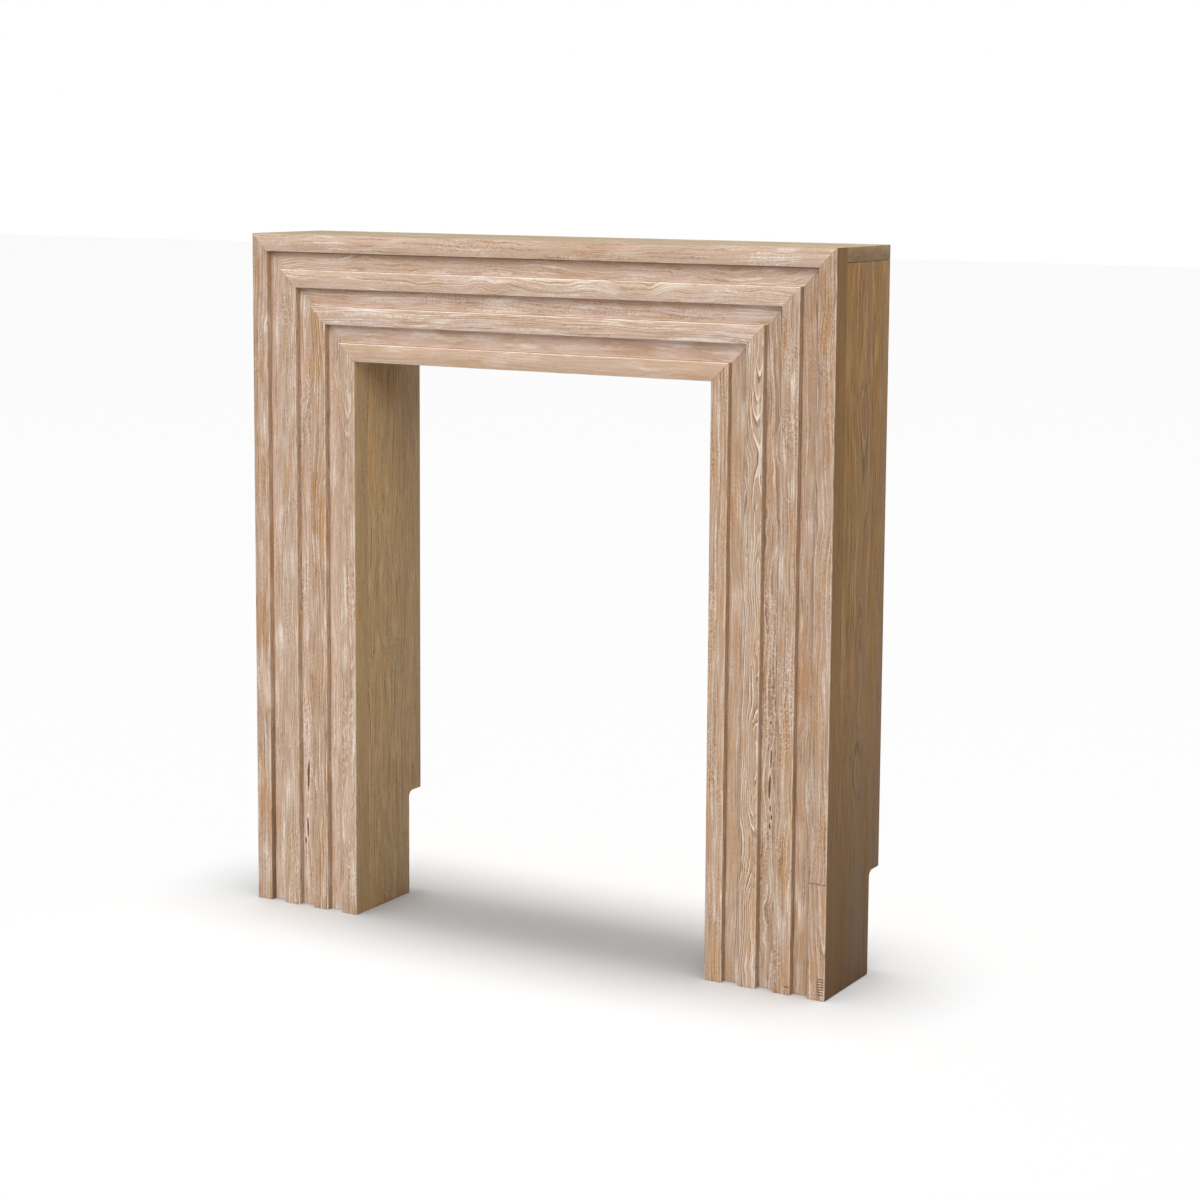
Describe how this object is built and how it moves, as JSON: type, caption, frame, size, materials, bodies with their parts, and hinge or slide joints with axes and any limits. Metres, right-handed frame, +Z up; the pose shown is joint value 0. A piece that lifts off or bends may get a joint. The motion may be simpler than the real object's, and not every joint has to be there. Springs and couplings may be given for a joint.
{
  "type": "fireplace mantelpiece",
  "caption": "Limed teak fireplace mantelpiece with stepped, mitred strips framing the opening, a shallow hollow case and skirting cut-outs at the back.",
  "frame": {"origin": "on the floor under the middle of the width and of the depth", "axes": "+Z up, +X to the right as seen from the room, -Y towards the room, +Y towards the wall"},
  "size_m": [1.22, 0.22, 1.295],
  "materials": {
    "proud_strip": "limed teak, dry matt, white lime left in the open grain",
    "sunk_strip": "limed teak, dry matt, a little darker than the proud strips",
    "side_panel": "olive-brown teak, dry matt, little lime",
    "shelf": "olive-brown teak, dry matt, little lime"
  },
  "bodies": {
    "root": {"left_leg_band_1": "proud_strip", "left_leg_recess_1": "sunk_strip", "left_leg_band_2": "proud_strip", "left_leg_recess_2": "sunk_strip", "left_leg_band_3": "proud_strip", "left_leg_recess_3": "sunk_strip", "left_leg_band_4": "proud_strip", "right_leg_band_1": "proud_strip", "right_leg_recess_1": "sunk_strip", "right_leg_band_2": "proud_strip", "right_leg_recess_2": "sunk_strip", "right_leg_band_3": "proud_strip", "right_leg_recess_3": "sunk_strip", "right_leg_band_4": "proud_strip", "lintel_band_1": "proud_strip", "lintel_recess_1": "sunk_strip", "lintel_band_2": "proud_strip", "lintel_recess_2": "sunk_strip", "lintel_band_3": "proud_strip", "lintel_recess_3": "sunk_strip", "lintel_band_4": "proud_strip", "right_leg_band_1_foot": "proud_strip", "left_side_front_board": "side_panel", "left_side_rear_board": "side_panel", "right_side_front_board": "side_panel", "right_side_rear_board": "side_panel", "left_reveal": "side_panel", "right_reveal": "side_panel", "soffit": "side_panel", "shelf_front_board": "shelf", "shelf_rear_board": "shelf"}
  },
  "joints": []
}
